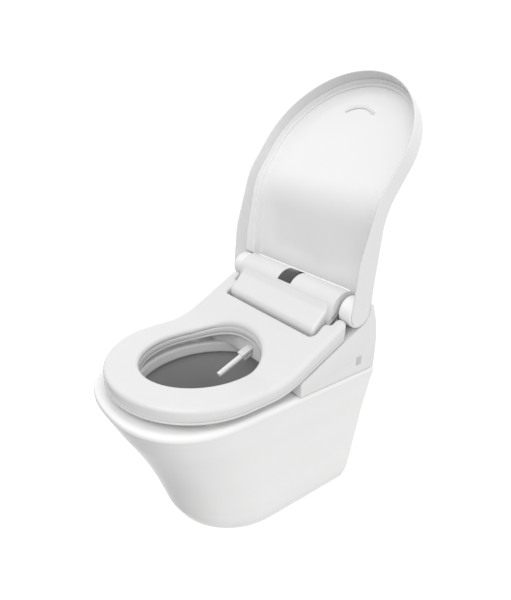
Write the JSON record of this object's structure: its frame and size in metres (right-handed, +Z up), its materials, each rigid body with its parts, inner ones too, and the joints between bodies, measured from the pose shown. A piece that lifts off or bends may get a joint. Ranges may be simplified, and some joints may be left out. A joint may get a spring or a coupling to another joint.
{
  "type": "bidet toilet",
  "caption": "Wall-hung ceramic toilet pan with an electronic bidet seat: hinged lid and ring seat on one axis, control housing with sensor window, extending wash nozzle and side button.",
  "frame": {"origin": "middle of the two wall bolts, on the wall plane at the back of the pan", "axes": "+Z up, -Y out of the wall towards the user, +X to the right seen from the front"},
  "size_m": [0.374, 0.6613, 0.9133],
  "materials": {
    "glazed_ceramic": "gloss glaze",
    "white_plastic": "gloss moulded",
    "nozzle_white": "gloss moulded",
    "button_grey": "satin",
    "smoked_window": "smoked, polished",
    "black_lens": "polished",
    "white_rubber": "soft",
    "grey_rubber": "soft",
    "grey_plastic": "moulded",
    "bearing_plastic": "satin",
    "steel": "brushed",
    "circuit_board": "solder mask",
    "brass": "machined",
    "heater_foil": "foil"
  },
  "bodies": {
    "pan_unit": {"air_pump": "grey_plastic", "base_cover": "white_plastic", "base_pads": "grey_rubber", "base_tray": "grey_plastic", "button_spring": "steel", "cable_gland": "grey_rubber", "control_board": "circuit_board", "control_housing": "white_plastic", "deodoriser_filter": "grey_plastic", "fan_housing": "grey_plastic", "heater_tank": "grey_plastic", "hinge_pin_left": "steel", "hinge_pin_right": "steel", "indicator_board": "circuit_board", "inlet_fitting": "brass", "inlet_valve": "grey_plastic", "ir_receiver": "black_lens", "lid_damper": "grey_plastic", "mounting_bolts": "steel", "mounting_nuts": "grey_rubber", "mounting_plate": "grey_plastic", "nozzle_cradle": "white_plastic", "nozzle_hose": "grey_rubber", "nozzle_motor": "steel", "pan_bowl": "glazed_ceramic", "pan_rim": "glazed_ceramic", "pan_skirt": "glazed_ceramic", "pan_waste_way": "glazed_ceramic", "seat_damper": "grey_plastic", "sensor_window": "smoked_window", "supply_hose": "grey_rubber", "wall_bushes": "grey_plastic", "wiper_strip": "white_rubber"},
    "lid": {"lid_cover": "white_plastic", "lid_liner": "white_plastic", "lid_crescent_pad": "white_rubber", "lid_knuckle_left": "white_plastic", "lid_knuckle_right": "white_plastic", "lid_bushes": "bearing_plastic"},
    "seat": {"seat_top": "white_plastic", "seat_base": "white_plastic", "seat_heater": "heater_foil", "seat_buffers": "white_rubber", "seat_lug_left": "steel", "seat_lug_right": "steel", "lug_screws": "steel"},
    "nozzle": {"nozzle_tip": "nozzle_white", "nozzle_wand": "nozzle_white", "nozzle_rack": "bearing_plastic"},
    "pinion": {"drive_pinion": "bearing_plastic"},
    "fan": {"fan_impeller": "grey_plastic"},
    "button": {"side_button": "button_grey"}
  },
  "joints": [
    {"name": "lid_hinge", "type": "hinge", "parent": "pan_unit", "child": "lid", "pos_m": [0, -0.073, 0.23], "axis": [-1, 0, 0], "range_deg": [-126, 0]},
    {"name": "seat_hinge", "type": "hinge", "parent": "pan_unit", "child": "seat", "pos_m": [0, -0.073, 0.23], "axis": [-1, 0, 0], "range_deg": [0, 116]},
    {"name": "nozzle_slide", "type": "slide", "parent": "pan_unit", "child": "nozzle", "axis": [0, -0.9205, -0.3907], "range_m": [-0.08, 0]},
    {"name": "pinion_spin", "type": "hinge", "parent": "pan_unit", "child": "pinion", "pos_m": [0.0175, -0.14092, 0.13161], "axis": [0, -0.3907, 0.9205], "range_deg": [-640, 40]},
    {"name": "fan_spin", "type": "hinge", "parent": "pan_unit", "child": "fan", "pos_m": [0.132, -0.066, 0.11], "axis": [0, 0, 1], "continuous": true},
    {"name": "button_press", "type": "slide", "parent": "pan_unit", "child": "button", "axis": [-1, 0, 0], "range_m": [0, 0.0025], "stiffness_N_per_m": 400, "deforming": ["button_spring"]}
  ],
  "couplings": [
    {"joint": "pinion_spin", "follows": "nozzle_slide", "rad_per_m": 125}
  ]
}
